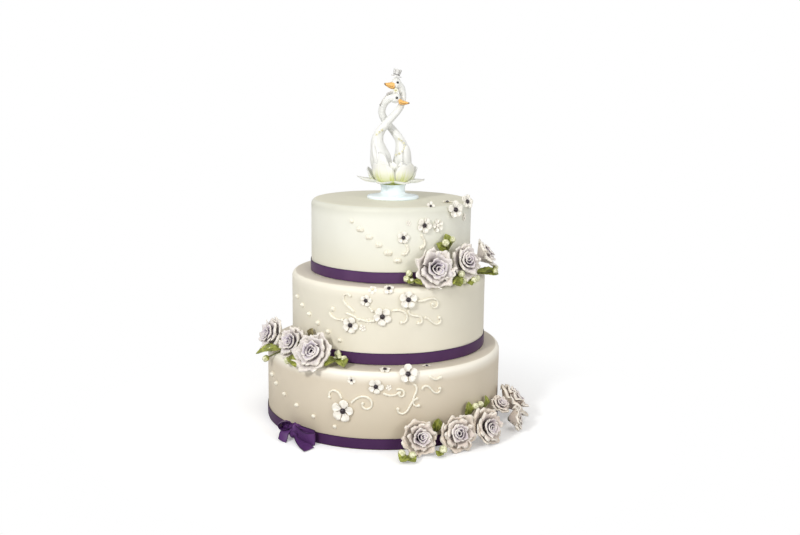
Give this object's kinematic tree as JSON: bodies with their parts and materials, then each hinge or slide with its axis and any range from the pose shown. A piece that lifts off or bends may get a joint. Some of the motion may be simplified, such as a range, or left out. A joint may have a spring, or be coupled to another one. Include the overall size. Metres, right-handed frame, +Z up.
{
  "type": "tiered wedding cake",
  "caption": "Round tiered wedding cake in ivory icing with purple ribbon bands, a bow, piped scrolls, sugar rose clusters and a topper of entwined swans in a water lily.",
  "frame": {"origin": "centre of the bottom tier's flat underside, on the surface the cake stands on", "axes": "+Z up through the tiers, -Y towards the decorated front, +X to the right as seen from the front"},
  "size_m": [0.349, 0.3503, 0.4482],
  "materials": {
    "icing": "ivory rolled icing, soft sheen, piped scrolls and dots of the same colour",
    "ribbon": "purple satin ribbon",
    "bow": "dark purple satin ribbon",
    "blossom": "white sugar paste with a charcoal bead in the middle",
    "rose": "pale lavender sugar paste with cream edges",
    "leaf": "olive green sugar leaves and pale buds",
    "pedestal": "pale blue gloss",
    "lily": "translucent white petals with a yellow-green heart",
    "swan": "white gloss with fine grey lines, orange beaks and black eyes"
  },
  "bodies": {
    "root": {"blossom_bottom_1": "blossom", "blossom_bottom_2": "blossom", "blossom_bottom_3": "blossom", "blossom_bottom_4": "blossom", "blossom_middle_1": "blossom", "blossom_middle_2": "blossom", "blossom_middle_3": "blossom", "blossom_middle_4": "blossom", "blossom_middle_5": "blossom", "blossom_top_1": "blossom", "blossom_top_2": "blossom", "blossom_top_3": "blossom", "blossom_top_4": "blossom", "bow": "bow", "lily": "lily", "pedestal": "pedestal", "ribbon_bottom": "ribbon", "ribbon_middle": "ribbon", "ribbon_top": "ribbon", "rose_left_1": "rose", "rose_left_2": "rose", "rose_left_3": "rose", "rose_lower_1": "rose", "rose_lower_2": "rose", "rose_lower_3": "rose", "rose_lower_4": "rose", "rose_lower_5": "rose", "rose_lower_6": "rose", "rose_upper_1": "rose", "rose_upper_2": "rose", "rose_upper_3": "rose", "sprig_left_1": "leaf", "sprig_left_2": "leaf", "sprig_left_3": "leaf", "sprig_left_4": "leaf", "sprig_lower_1": "leaf", "sprig_lower_2": "leaf", "sprig_lower_3": "leaf", "sprig_lower_4": "leaf", "sprig_lower_5": "leaf", "sprig_upper_1": "leaf", "sprig_upper_2": "leaf", "sprig_upper_3": "leaf", "sprig_upper_4": "leaf", "sprig_upper_5": "leaf", "swan_bride": "swan", "swan_groom": "swan", "tier_bottom": "icing", "tier_middle": "icing", "tier_top": "icing", "top_hat": "swan"}
  },
  "joints": []
}
